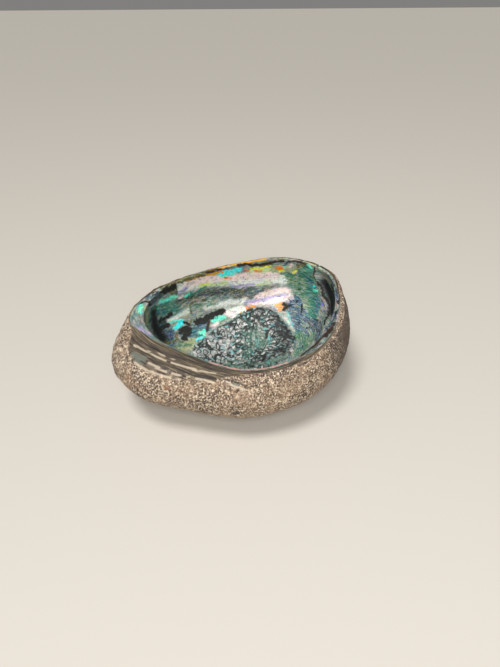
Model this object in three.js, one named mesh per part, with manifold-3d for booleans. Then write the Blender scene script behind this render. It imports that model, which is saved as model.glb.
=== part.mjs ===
// An abalone shell lying on its back with its mouth up, as one closed solid.
// Millimetres, +Z up. The origin is on the table, under the middle of the shell's box.
//
// -X is the spire end and +X the growing end. -Y is the side of the thick flat lip and of the
// breathing pores, +Y the side of the thin outer lip. The shell is a ring of columns. A column is
// the section of the wall at one angle round the mouth: from the worn crown that the shell rests
// on, up the outside, over the shoulder and the lip, and down the inside to the lowest point.
import * as THREE from "three";
import { mergeVertices } from "three/addons/utils/BufferGeometryUtils.js";
import Module from "manifold-3d";

// Driving dimensions. Heights are above the table.
const LIP_HEIGHT = 52; // at the middle of the mouth, which leans towards -Y
const FLOOR_HEIGHT = 7; // of the inside's lowest point, so the wall is this thick at the crown
const FLOOR_MIDDLE = [4, 3]; // where the inside is lowest
const CROWN_MIDDLE = [-9, -3]; // where the outside is lowest, under the shell's weight
const WEAR = 0.9; // how much of the crown is worn off flat
const LIP_CREST = 0.5; // how far the lip is rounded up between its two edges

// The wall at some angles round the mouth, counter-clockwise from the growing end.
//   radius  from the mouth's middle to the lip's outer edge
//   rise    of that edge over LIP_HEIGHT
//   lip     width of the lip
//   drop    how far the lip's inner edge lies below its outer edge
//   ledge   how far the outside stands out past the lip, before it turns down
//   fall    how far that shoulder slopes down on its way out
//   swell   how far the outside bulges past a plain curve below the shoulder
//   hollow  how far the inside is hollowed out under the lip
//   bend    of the outside's curve: smaller is squarer
const SECTIONS = [
  // angle, radius, rise, lip, drop, ledge, fall, swell, hollow, bend
  [0, 75.5, 7.5, 5.5, 1.5, 2, 2, 6, 7, 0.74],
  [20, 82.3, 12, 3.5, 1, 1, 1, 5, 4.5, 0.74],
  [45, 73.8, 15, 2.4, 0.6, 0.5, 1, 4, 2.5, 0.76],
  [70, 60.8, 14, 2.2, 0.5, 0.5, 1, 4, 2, 0.78],
  [95, 56, 12.6, 2.2, 0.5, 0.5, 1, 4, 2.5, 0.78],
  [120, 59.8, 11, 2.6, 0.5, 0.5, 1, 5, 3, 0.8],
  [145, 71.5, 7.4, 5, 0.7, 1.5, 1, 7, 4.5, 0.82],
  [165, 79, 3.1, 10, 1.5, 2.5, 3, 7, 7.5, 0.86],
  [182, 74, -0.8, 12, 2, 13, 6, 10, 11, 0.93],
  [200, 62.5, -3, 10, 2, 20, 8, 8, 12.5, 0.93],
  [225, 54.3, -5, 7, 1.5, 14, 8, 6, 12, 0.86],
  [255, 55.3, -6, 6, 1.5, 8, 5.5, 7.5, 11, 0.79],
  [290, 58.8, -4.6, 7, 2, 4, 3, 8.5, 10.5, 0.75],
  [325, 66, 0, 7.5, 2, 2.5, 2, 7.5, 9.5, 0.74],
].map(([angle, radius, rise, lip, drop, ledge, fall, swell, hollow, bend]) => {
  return { angle, radius, rise, lip, drop, ledge, fall, swell, hollow, bend };
});

// The raised, rough scar where the muscle held on: an egg on the floor, seen from above.
const SCAR = { middle: [8, 25], length: 88, width: 50, turn: 6, height: 1.6, edge: 0.16 };

// The step where the shell broke at the growing end and grew on. It starts from the lip at one
// angle and runs down and round the inside. On one side of it the old nacre stands up in a fold,
// and on the other the new wall lies back.
const STEP = {
  angle: 26.5, // at the lip
  turn: 22.5, // how far round it has run at its full depth
  depth: 0.4,
  slope: 8, // degrees of the wall that the step's own face takes up
  fold: 1.6, // height of the fold, and foldRun and setBackRun are degrees to where each dies out
  foldRun: 18,
  setBack: 1.8,
  setBackRun: 32,
};
const STEP_NOTCH = { width: 1.8, depth: 3, length: 16 }; // cut in the lip where the step starts

// The open breathing pores, low on the outside, wider towards the growing end.
const PORES = { first: 232, last: 308, count: 5, outerDepth: 0.42, innerDepth: 0.42, narrow: 4, wide: 6.4 };
const PORE_SIDES = 12;
const PORE_OVERRUN = 5; // how far the cutter runs past the wall at each end

// The mesh's fineness: columns round the mouth, and rows of each stretch of a column.
const COLUMNS = 84;
const ROWS = { outside: 20, shoulder: 2, lip: 3, inside: 25 };

const { degToRad, lerp, smoothstep } = THREE.MathUtils;

// The section that lies index places on from the first, counted on round the mouth.
function countedSection(index) {
  const turns = Math.floor(index / SECTIONS.length);
  const section = SECTIONS[index - turns * SECTIONS.length];
  return { ...section, angle: section.angle + 360 * turns };
}

// The section at any angle, on a smooth closed curve through SECTIONS.
function sectionAt(angle) {
  const start = SECTIONS.findLastIndex((section) => section.angle <= angle);
  const [a, b, c, d] = [start - 1, start, start + 1, start + 2].map(countedSection);
  const gap = c.angle - b.angle;
  const share = (angle - b.angle) / gap;
  const section = { angle };
  for (const name of Object.keys(b).filter((key) => key !== "angle")) {
    const slopeIn = ((c[name] - a[name]) / (c.angle - a.angle)) * gap;
    const slopeOut = ((d[name] - b[name]) / (d.angle - b.angle)) * gap;
    const bow = (1 - share) * slopeIn - share * slopeOut + (2 * share - 1) * (c[name] - b[name]);
    section[name] = lerp(b[name], c[name], share) + share * (1 - share) * bow;
  }
  return section;
}

// A point at some distance and height on the line that a section stands on.
function pointOn(section, distance, height) {
  const angle = degToRad(section.angle);
  return new THREE.Vector3(distance * Math.cos(angle), distance * Math.sin(angle), height);
}

function lipOuterEdge(section) {
  return pointOn(section, section.radius, LIP_HEIGHT + section.rise);
}

function lipInnerEdge(section) {
  return pointOn(section, section.radius - section.lip, LIP_HEIGHT + section.rise - section.drop);
}

function shoulderEdge(section) {
  return pointOn(section, section.radius + section.ledge, LIP_HEIGHT + section.rise - section.fall);
}

// The outside, at a depth of 0 at the shoulder's edge to 1 at the crown.
function outside(section, depth) {
  const edge = shoulderEdge(section);
  const turn = (depth * Math.PI) / 2;
  const reach = Math.max(Math.cos(turn), 0) ** section.bend;
  const sink = Math.sin(turn) ** (section.bend + 0.05);
  const swell = section.swell * Math.max(Math.sin(Math.PI * depth ** 0.62), 0) ** 1.3;
  const point = new THREE.Vector3(...CROWN_MIDDLE, 0).lerp(edge, reach);
  point.add(pointOn(section, swell, 0));
  point.z = Math.max(edge.z * (1 - sink) - WEAR * depth ** 2, 0);
  return point;
}

// The shoulder, at a share of 0 at its own edge to 1 at the lip's outer edge.
function shoulder(section, share) {
  const edge = shoulderEdge(section);
  const lip = lipOuterEdge(section);
  const point = edge.clone().lerp(lip, share);
  point.z = lerp(edge.z, lip.z, 1 - (1 - share) ** 1.5);
  return point;
}

// The lip, at a share of 0 at its outer edge to 1 at its inner edge.
function lip(section, share) {
  const point = lipOuterEdge(section).lerp(lipInnerEdge(section), share);
  point.z = lipOuterEdge(section).z - section.drop * share ** 1.5 + LIP_CREST * Math.sin(Math.PI * share);
  return point;
}

// How far the scar stands up at a point of the inside.
function scarHeight(point) {
  const turn = degToRad(SCAR.turn);
  const fromMiddle = new THREE.Vector2(point.x, point.y).sub(new THREE.Vector2(...SCAR.middle));
  fromMiddle.rotateAround(new THREE.Vector2(), -turn);
  const egg = Math.hypot((2 * fromMiddle.x) / SCAR.length, (2 * fromMiddle.y) / SCAR.width);
  return SCAR.height * (1 - smoothstep(egg, 1 - SCAR.edge, 1));
}

// How far the step stands in from the wall (its fold), or back from it, at a place on the inside.
function stepHeight(angle, depth) {
  const stepAngle = STEP.angle - STEP.turn * (depth / STEP.depth) ** 1.5;
  const past = ((angle + 180) % 360) - 180 - stepAngle;
  const side = smoothstep(past, -STEP.slope / 2, STEP.slope / 2);
  const fade = smoothstep(Math.abs(past), 0, lerp(STEP.setBackRun, STEP.foldRun, side));
  const along = smoothstep(depth, 0, 0.06) * (1 - smoothstep(depth, STEP.depth, STEP.depth + 0.12));
  return lerp(-STEP.setBack, STEP.fold, side) * (1 - fade) * along;
}

// The inside, at a depth of 0 at the lip's inner edge to 1 at its lowest point.
function inside(section, depth) {
  const edge = lipInnerEdge(section);
  const turn = (depth * Math.PI) / 2;
  const reach = Math.max(Math.cos(turn), 0) ** 0.76;
  const sink = Math.sin(turn) ** 0.86;
  const hollow = section.hollow * Math.max(Math.sin(Math.PI * depth ** 0.7), 0) ** 1.2;
  const point = new THREE.Vector3(...FLOOR_MIDDLE, 0).lerp(edge, reach);
  point.add(pointOn(section, hollow, 0));
  point.z = lerp(edge.z, FLOOR_HEIGHT, sink);
  const inward = pointOn(section, -Math.cos(turn), Math.sin(turn));
  return point.addScaledVector(inward, scarHeight(point) + stepHeight(section.angle, depth));
}

// One column's points, from next to the crown to next to the lowest point of the inside.
function column(angle) {
  const section = sectionAt(angle);
  const points = [];
  for (let row = 1; row <= ROWS.outside; row++) {
    points.push(outside(section, 1 - row / ROWS.outside));
  }
  for (let row = 1; row <= ROWS.shoulder; row++) {
    points.push(shoulder(section, row / ROWS.shoulder));
  }
  for (let row = 1; row <= ROWS.lip; row++) {
    points.push(lip(section, row / ROWS.lip));
  }
  for (let row = 1; row < ROWS.inside; row++) {
    points.push(inside(section, row / ROWS.inside));
  }
  return points;
}

// The wall with no holes: the columns joined side by side, and closed at both of their ends.
function wallGeometry() {
  const columns = Array.from({ length: COLUMNS }, (_, index) => column((index * 360) / COLUMNS));
  const rows = columns[0].length;
  const crown = new THREE.Vector3(...CROWN_MIDDLE, 0);
  const floor = inside(sectionAt(0), 1);
  const points = [...columns.flat(), crown, floor];
  const crownIndex = points.length - 2;
  const floorIndex = points.length - 1;
  const triangles = [];
  for (let index = 0; index < COLUMNS; index++) {
    const here = index * rows;
    const next = ((index + 1) % COLUMNS) * rows;
    triangles.push(next, here, crownIndex);
    for (let row = 0; row < rows - 1; row++) {
      triangles.push(here + row, next + row, here + row + 1);
      triangles.push(next + row, next + row + 1, here + row + 1);
    }
    triangles.push(here + rows - 1, next + rows - 1, floorIndex);
  }
  const geometry = new THREE.BufferGeometry().setFromPoints(points);
  geometry.setIndex(triangles);
  return geometry;
}

// A geometry that points along +Y, moved to a point and turned to lie along a direction.
function layAlong(geometry, point, direction) {
  const turn = new THREE.Quaternion().setFromUnitVectors(new THREE.Vector3(0, 1, 0), direction);
  return geometry.applyQuaternion(turn).translate(point.x, point.y, point.z);
}

// The cutter of one pore: a tapering round bar through the wall.
function poreCutter(index) {
  const share = index / (PORES.count - 1);
  const section = sectionAt(lerp(PORES.first, PORES.last, share));
  const radius = lerp(PORES.narrow, PORES.wide, share) / 2;
  const outer = outside(section, PORES.outerDepth);
  const inner = inside(section, PORES.innerDepth);
  const length = outer.distanceTo(inner) + 2 * PORE_OVERRUN;
  const bar = new THREE.CylinderGeometry(radius * 1.3, radius * 0.8, length, PORE_SIDES);
  const outward = outer.clone().sub(inner).normalize();
  return layAlong(bar, outer.clone().lerp(inner, 0.5), outward);
}

// The cutter of the notch: a three-sided bar with an edge down, laid across the lip.
function notchCutter() {
  const section = sectionAt(STEP.angle);
  const bar = new THREE.CylinderGeometry(1, 1, STEP_NOTCH.length, 3);
  bar.scale(STEP_NOTCH.width / Math.sqrt(3), 1, 1);
  bar.scale(1, 1, STEP_NOTCH.depth / 1.5);
  bar.rotateX(-Math.PI / 2);
  bar.rotateZ(degToRad(section.angle) - Math.PI / 2);
  const place = lipOuterEdge(section);
  return bar.translate(place.x, place.y, place.z);
}

const wasm = await Module();
wasm.setup();

function toSolid(geometry) {
  const bare = geometry.clone();
  bare.deleteAttribute("normal");
  bare.deleteAttribute("uv");
  const merged = mergeVertices(bare);
  const vertProperties = new Float32Array(merged.attributes.position.array);
  const triVerts = new Uint32Array(merged.index.array);
  return new wasm.Manifold(new wasm.Mesh({ numProp: 3, vertProperties, triVerts }));
}

function toGeometry(solid) {
  const mesh = solid.getMesh();
  const geometry = new THREE.BufferGeometry();
  geometry.setAttribute("position", new THREE.BufferAttribute(mesh.vertProperties, 3));
  geometry.setIndex(new THREE.BufferAttribute(mesh.triVerts, 1));
  return geometry;
}

// The whole shell, moved so that the origin is under the middle of its box.
function shellGeometry() {
  let solid = toSolid(wallGeometry());
  for (let index = 0; index < PORES.count; index++) {
    solid = solid.subtract(toSolid(poreCutter(index)));
  }
  solid = solid.subtract(toSolid(notchCutter()));
  const geometry = toGeometry(solid);
  geometry.computeBoundingBox();
  const middle = geometry.boundingBox.getCenter(new THREE.Vector3());
  geometry.translate(-middle.x, -middle.y, 0);
  geometry.computeVertexNormals();
  return geometry;
}

const crust = new THREE.MeshStandardMaterial({ color: "#a8927e", roughness: 0.8, metalness: 0 });
const shell = new THREE.Mesh(shellGeometry(), crust);
shell.name = "shell";

const abalone = new THREE.Group();
abalone.add(shell);

export default abalone;
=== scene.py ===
# An abalone shell on its back, mouth up, on a pale floor. Metres, +Z up, in the frame's axes:
# -X is the spire end, +X the growing end, -Y the side of the thick inner lip.
import bmesh
import bpy
import math
import numpy as np
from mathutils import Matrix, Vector, noise


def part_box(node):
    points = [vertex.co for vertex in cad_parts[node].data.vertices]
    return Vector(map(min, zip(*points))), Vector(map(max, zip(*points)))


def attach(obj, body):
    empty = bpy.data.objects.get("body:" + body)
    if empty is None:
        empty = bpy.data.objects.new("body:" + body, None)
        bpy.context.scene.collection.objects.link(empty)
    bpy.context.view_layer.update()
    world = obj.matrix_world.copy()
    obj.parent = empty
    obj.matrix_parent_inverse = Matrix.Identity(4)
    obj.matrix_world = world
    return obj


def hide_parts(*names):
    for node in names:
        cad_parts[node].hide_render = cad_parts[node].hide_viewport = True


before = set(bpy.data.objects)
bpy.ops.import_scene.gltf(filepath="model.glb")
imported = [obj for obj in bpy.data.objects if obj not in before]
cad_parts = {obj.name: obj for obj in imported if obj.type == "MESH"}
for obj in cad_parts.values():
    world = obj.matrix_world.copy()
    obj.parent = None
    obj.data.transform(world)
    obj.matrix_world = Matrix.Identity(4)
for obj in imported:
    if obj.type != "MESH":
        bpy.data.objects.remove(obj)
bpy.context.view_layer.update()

# THE WALL
# One wall of shell lime, grown in layers at its edge: a rough crust outside and nacre inside.
# It is a ring of columns, each the section of the wall at one angle round the mouth, from the
# crown up the outside, over the shoulder and the lip, and down the inside. Sizes are in mm.
MM = 0.001
LIP_HEIGHT = 52
FLOOR_HEIGHT = 7
FLOOR_MIDDLE = (4, 3)
CROWN_MIDDLE = (-9, -3)
CROWN_WEAR = 0.9
LIP_CREST = 0.5
SECTION_SIZES = (
    "angle", "radius", "rise", "lip", "drop", "ledge", "fall", "swell", "hollow", "bend",
)
SECTIONS = np.array([
    [0, 75.5, 7.5, 5.5, 1.5, 2, 2, 6, 7, 0.74],
    [20, 82.3, 12, 3.5, 1, 1, 1, 5, 4.5, 0.74],
    [45, 73.8, 15, 2.4, 0.6, 0.5, 1, 4, 2.5, 0.76],
    [70, 60.8, 14, 2.2, 0.5, 0.5, 1, 4, 2, 0.78],
    [95, 56, 12.6, 2.2, 0.5, 0.5, 1, 4, 2.5, 0.78],
    [120, 59.8, 11, 2.6, 0.5, 0.5, 1, 5, 3, 0.8],
    [145, 71.5, 7.4, 5, 0.7, 1.5, 1, 7, 4.5, 0.82],
    [165, 79, 3.1, 10, 1.5, 2.5, 3, 7, 7.5, 0.86],
    [182, 74, -0.8, 12, 2, 13, 6, 10, 11, 0.93],
    [200, 62.5, -3, 10, 2, 20, 8, 8, 12.5, 0.93],
    [225, 54.3, -5, 7, 1.5, 14, 8, 6, 12, 0.86],
    [255, 55.3, -6, 6, 1.5, 8, 5.5, 7.5, 11, 0.79],
    [290, 58.8, -4.6, 7, 2, 4, 3, 8.5, 10.5, 0.75],
    [325, 66, 0, 9.5, 2, 2.5, 2, 7.5, 8, 0.74],
])
COLUMNS = 400
ROWS = {"outside": 62, "shoulder": 14, "lip": 14, "inside": 144}
# The columns stand closest together round the far side of the bowl, where the nacre shows.
CLOSEST = 80
CLOSENESS = 0.28
turns = np.arange(COLUMNS) / COLUMNS
bunching = CLOSENESS * (
    np.sin(2 * math.pi * (turns - CLOSEST / 360)) + math.sin(2 * math.pi * CLOSEST / 360)
)
angles = 360 * (turns - bunching / (2 * math.pi))


def round_the_mouth(name):
    """One of the sections' sizes at every column, on a smooth closed curve."""
    stops = SECTIONS[:, 0]
    sizes = SECTIONS[:, SECTION_SIZES.index(name)]
    stops = np.concatenate([stops[-2:] - 360, stops, stops[:3] + 360])
    sizes = np.concatenate([sizes[-2:], sizes, sizes[:3]])
    at = np.searchsorted(stops, angles, side="right") - 1
    gap = stops[at + 1] - stops[at]
    share = (angles - stops[at]) / gap
    rise = sizes[at + 1] - sizes[at]
    slope_in = (sizes[at + 1] - sizes[at - 1]) / (stops[at + 1] - stops[at - 1]) * gap
    slope_out = (sizes[at + 2] - sizes[at]) / (stops[at + 2] - stops[at]) * gap
    bow = (1 - share) * slope_in - share * slope_out + (2 * share - 1) * rise
    return sizes[at] + share * rise + share * (1 - share) * bow


wall = {name: round_the_mouth(name) for name in SECTION_SIZES[1:]}
wall["height"] = LIP_HEIGHT + wall["rise"]
outward = np.stack([np.cos(np.radians(angles)), np.sin(np.radians(angles))], axis=-1)


def ring(distance, height):
    """Points at these distances and heights over every column's line, one row for each row."""
    distance, height = np.broadcast_arrays(distance, height)
    return np.concatenate([distance[..., None] * outward, height[..., None]], axis=-1)


def soft_step(value, low, high):
    share = np.clip((value - low) / (high - low), 0, 1)
    return share * share * (3 - 2 * share)


lip_outer = ring(wall["radius"], wall["height"])
lip_inner = ring(wall["radius"] - wall["lip"], wall["height"] - wall["drop"])
shoulder_edge = ring(wall["radius"] + wall["ledge"], wall["height"] - wall["fall"])


def outside(depth):
    """The outside, at depths of 0 at the shoulder's edge to 1 at the crown."""
    turn = depth * math.pi / 2
    reach = np.cos(turn) ** wall["bend"]
    sink = np.sin(turn) ** (wall["bend"] + 0.05)
    swell = wall["swell"] * np.sin(math.pi * depth**0.62).clip(0) ** 1.3
    crown = np.array([*CROWN_MIDDLE, 0])
    points = crown + (shoulder_edge - crown) * reach[..., None] + ring(swell, 0)
    points[..., 2] = (shoulder_edge[..., 2] * (1 - sink) - CROWN_WEAR * depth**2).clip(0)
    return points


def shoulder(share):
    """The shoulder, at shares of 0 at its own edge to 1 at the lip's outer edge."""
    points = shoulder_edge + (lip_outer - shoulder_edge) * share[..., None]
    points[..., 2] = shoulder_edge[..., 2] + wall["fall"] * (1 - (1 - share) ** 1.5)
    return points


def lip(share):
    """The lip, at shares of 0 at its outer edge to 1 at its inner edge."""
    points = lip_outer + (lip_inner - lip_outer) * share[..., None]
    crest = LIP_CREST * np.sin(math.pi * share)
    points[..., 2] = wall["height"] - wall["drop"] * share**1.5 + crest
    return points


def inside(depth):
    """The inside, at depths of 0 at the lip's inner edge to 1 at its lowest point."""
    turn = depth * math.pi / 2
    reach = np.cos(turn) ** 0.76
    sink = np.sin(turn) ** 0.86
    hollow = wall["hollow"] * np.sin(math.pi * depth**0.7).clip(0) ** 1.2
    floor = np.array([*FLOOR_MIDDLE, 0])
    points = floor + (lip_inner - floor) * reach[..., None] + ring(hollow, 0)
    points[..., 2] = lip_inner[..., 2] + (FLOOR_HEIGHT - lip_inner[..., 2]) * sink
    return points


def steps(count, last=1.0):
    """Evenly spread shares, one a row, after 0 and up to last."""
    return (np.arange(1, count + 1) / count * last)[:, None] * np.ones(COLUMNS)


outside_depth = (1 - steps(ROWS["outside"])) ** 1.25
shoulder_share = steps(ROWS["shoulder"])
lip_share = steps(ROWS["lip"])
inside_depth = steps(ROWS["inside"] - 1, 1 - 1 / ROWS["inside"])
points = np.concatenate([
    outside(outside_depth),
    shoulder(shoulder_share),
    lip(lip_share),
    inside(inside_depth),
])
# How far across the wall each point is: -1 at the crown, 0 to 1 over the shoulder, 1 to 2 over
# the lip, and 2 to 3 down the inside. down is the way in mm from the lip's inner edge.
across = np.concatenate([-outside_depth, shoulder_share, 1 + lip_share, 2 + inside_depth])
run = np.linalg.norm(np.diff(points, axis=0, prepend=points[:1]), axis=-1).cumsum(axis=0)
lip_rows = ROWS["outside"] + ROWS["shoulder"] + ROWS["lip"]
down = run - run[lip_rows - 1]
around = angles * np.ones_like(across)


# THE WALL'S RELIEF
# The crust is lumpy and ridged along its growth lines, and the nacre gently uneven. Near the
# growing end the nacre has a step, folded forward on its far side and set back behind it.
# An adductor muscle held the floor of the bowl: its scar is a raised, worm-eaten-looking oval.
STEP = {"angle": 26.5, "turn": 22.5, "depth": 0.4, "slope": 4.5}
FOLD_HEIGHT = 1.7
FOLD_RUN = 18
SET_BACK = 2.2
SET_BACK_RUN = 32
SCAR_MIDDLE = (8, 20)
SCAR_HEIGHT = 1.6
# The scar's edge, as bearings from its middle and how far the edge lies that way, in mm.
SCAR_EDGE = np.array([
    (-172, 42), (-156, 37), (-135, 31), (-107, 27), (-77, 28), (-51, 32), (-36, 36.6), (-24, 39.2),
    (-13, 41), (-4, 41.8), (6, 41.1), (16, 40.5), (25, 40.8), (34.5, 40.9), (43, 39.3), (52, 36.2),
    (64.5, 32.5), (78, 29), (99, 26), (119, 26.5), (138, 29.7), (152, 32.9), (162, 39.6),
    (173, 43.3),
])


def wrap(angle):
    return (angle + 180) % 360 - 180


def lumps(places, size, seed):
    """Smooth noise of about -1 to 1, with lumps of a size in mm."""
    flat = (places / size + seed).reshape(-1, 3)
    return np.array([noise.noise(Vector(place)) for place in flat]).reshape(places.shape[:-1])


def normals(surface):
    along = np.roll(surface, -1, axis=1) - np.roll(surface, 1, axis=1)
    across_wall = np.gradient(surface, axis=0)
    facing = np.cross(along, across_wall)
    return facing / np.linalg.norm(facing, axis=-1, keepdims=True).clip(1e-9)


# Places along the growth lines: stretched noise read here runs round the mouth.
growth = np.stack([
    60 * np.cos(np.radians(around)),
    60 * np.sin(np.radians(around)),
    down,
], axis=-1)

depth = (across - 2).clip(0)
past = wrap(around - STEP["angle"] + STEP["turn"] * (depth / STEP["depth"]) ** 1.5)
fold_side = soft_step(past, -STEP["slope"] / 2, STEP["slope"] / 2)
fade = 1 - soft_step(np.abs(past) / (SET_BACK_RUN + (FOLD_RUN - SET_BACK_RUN) * fold_side), 0, 1)
fade *= soft_step(depth, 0, 0.06) * (1 - soft_step(depth, STEP["depth"], 0.52))
fold = fade * (fold_side * (FOLD_HEIGHT + SET_BACK) - SET_BACK)

scar_x = points[..., 0] - SCAR_MIDDLE[0]
scar_y = points[..., 1] - SCAR_MIDDLE[1]
bearing = np.degrees(np.arctan2(scar_y, scar_x))
scar_reach = np.interp(bearing, SCAR_EDGE[:, 0], SCAR_EDGE[:, 1], period=360)
scar_out = np.hypot(scar_x, scar_y) / scar_reach
scar = np.where(depth > 0.02, 1 - soft_step(scar_out, 0.9, 1.02), 0)
worm = lumps(points + 1.6 * lumps(points, 4, 31.7)[..., None], 3.3, 3.1)
worm_ridges = np.exp(-((worm / 0.11) ** 2))

crust = 1 - soft_step(across, 0.9, 1.5)
relief = crust * (
    0.5 * lumps(points, 11, 1.3)
    + 0.34 * lumps(points, 4.2, 7.7)
    + 0.2 * lumps(points, 1.9, 9.1)
    + 0.3 * lumps(growth * (1, 1, 6), 16, 2.9)
)
relief += (1 - crust) * 0.16 * lumps(points, 7, 4.4)
relief += scar * (0.3 * worm_ridges - 0.12)
relief *= soft_step(across, -1, -0.86) * (1 - soft_step(across, 2.93, 2.99))
inward = np.concatenate([
    -np.cos(depth * math.pi / 2)[..., None] * outward,
    np.sin(depth * math.pi / 2)[..., None],
], axis=-1)
grown = points + normals(points) * relief[..., None]
grown += inward * (fold + SCAR_HEIGHT * scar)[..., None]
grown[..., 2] = grown[..., 2].clip(0)

# THE COLOURS OF THE NACRE
# Thin layers of nacre split the light into bands of silver, blue, green and pink, and stains
# lie between them. Painted light lies among them too: painted reflections and a dark painted
# reflection band on the far wall, painted shade in the slit behind the step and in the hollow
# towards the spire end, and painted highlights on some flecks. Each stroke is its half width in
# mm, its strength and its places: each an angle round the mouth and a way down from the lip's
# inner edge in mm.
mm_per_degree = np.hypot(points[..., 0], points[..., 1]) * math.pi / 180
wander_x = 1.1 * lumps(points, 5, 11.3) + 0.7 * lumps(points, 2.1, 17.9)
wander_y = 0.8 * lumps(points, 5, 23.1) + 0.6 * lumps(points, 2.1, 29.3)


def painted(strokes, core, fade_out, wander=1):
    """How much of a colour each point of the wall holds, from 0 to 1."""
    most = np.zeros_like(across)
    for half_width, strength, *places in strokes:
        for start, end in zip(places, places[1:] or places):
            x = wrap(around - start[0]) * mm_per_degree + wander * wander_x
            y = down - start[1] + wander * wander_y
            end_x = wrap(end[0] - start[0]) * mm_per_degree
            end_y = end[1] - start[1]
            share = ((x * end_x + y * end_y) / (end_x**2 + end_y**2 + 1e-6)).clip(0, 1)
            gap = np.hypot(x - share * end_x, y - share * end_y)
            most = np.maximum(most, strength * (1 - soft_step(gap / half_width, core, fade_out)))
    return most
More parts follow.
